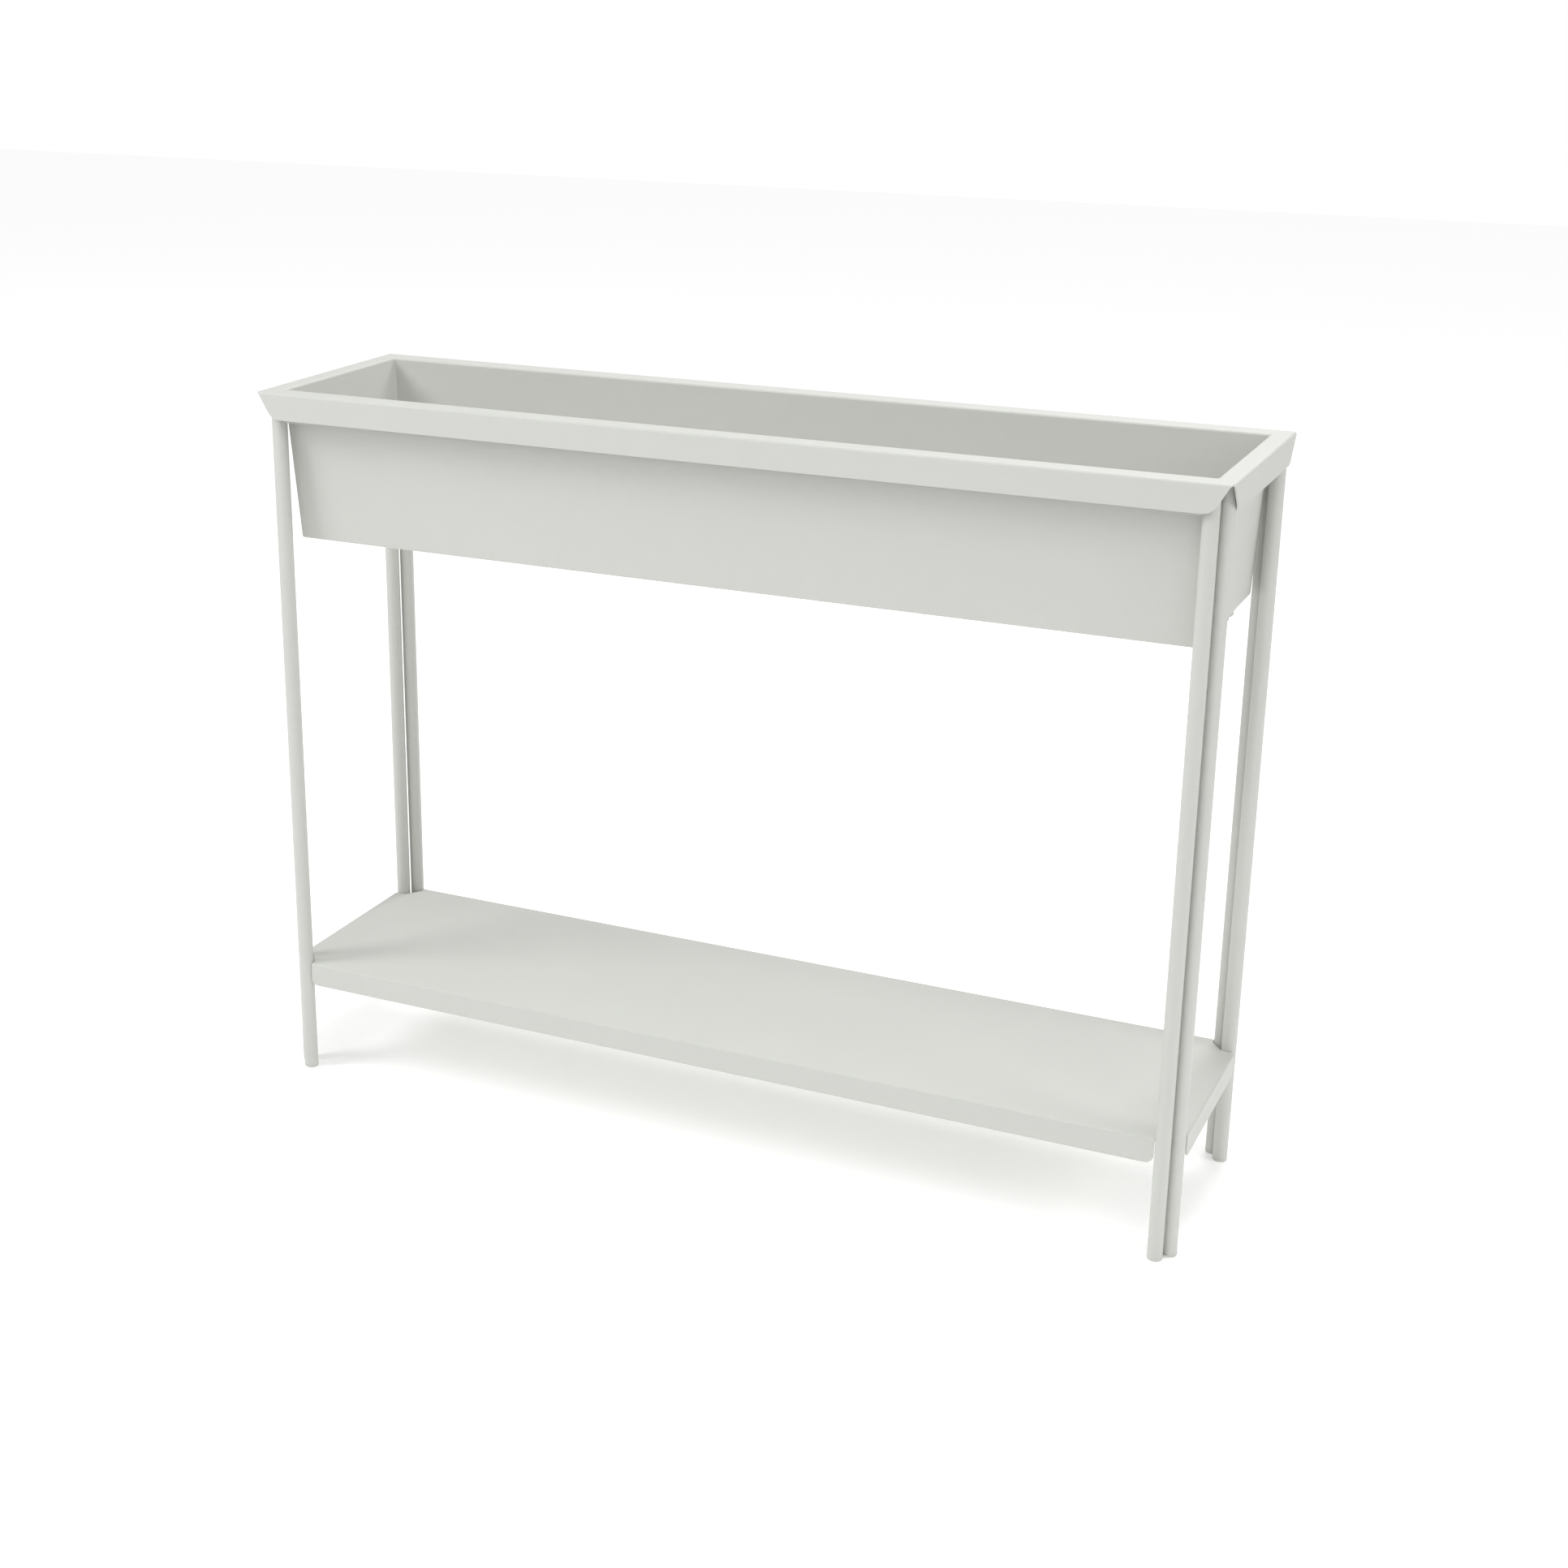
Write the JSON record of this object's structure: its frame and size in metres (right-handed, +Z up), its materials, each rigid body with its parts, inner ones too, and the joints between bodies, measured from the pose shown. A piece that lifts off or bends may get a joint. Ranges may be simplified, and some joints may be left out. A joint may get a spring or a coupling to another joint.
{
  "type": "raised planter on legs",
  "caption": "Long raised planter: a folded sheet metal trough with a turned down rim, hung in a stand with paired tube legs and a low shelf.",
  "frame": {"origin": "on the floor, under the middle of the planter", "axes": "+X along the length to the right, +Y towards the back, +Z up"},
  "size_m": [1, 0.26, 0.76],
  "materials": {
    "tray_coat": "matt powder coat, warm light grey",
    "stand_coat": "matt powder coat, warm light grey",
    "drain_plastic": "matt grey",
    "drain_rubber": "matt black"
  },
  "bodies": {
    "stand": {"front_bar": "stand_coat", "back_bar": "stand_coat", "left_bar": "stand_coat", "right_bar": "stand_coat", "front_left_side_tube": "stand_coat", "front_left_end_tube": "stand_coat", "front_right_side_tube": "stand_coat", "front_right_end_tube": "stand_coat", "back_left_side_tube": "stand_coat", "back_left_end_tube": "stand_coat", "back_right_side_tube": "stand_coat", "back_right_end_tube": "stand_coat", "front_left_foot": "stand_coat", "front_right_foot": "stand_coat", "back_left_foot": "stand_coat", "back_right_foot": "stand_coat", "front_left_cap": "stand_coat", "front_right_cap": "stand_coat", "back_left_cap": "stand_coat", "back_right_cap": "stand_coat", "shelf": "stand_coat"},
    "trough": {"tray": "tray_coat", "drain_bush": "drain_plastic", "drain_washer": "drain_rubber", "drain_nut": "drain_plastic"},
    "stopper": {"drain_stopper": "drain_plastic"}
  },
  "joints": [
    {"name": "trough_lift", "type": "slide", "parent": "stand", "child": "trough", "axis": [0, 0, 1], "range_m": [0, 0.2]},
    {"name": "stopper_pull", "type": "slide", "parent": "trough", "child": "stopper", "axis": [0, 0, -1], "range_m": [0, 0.03]}
  ]
}
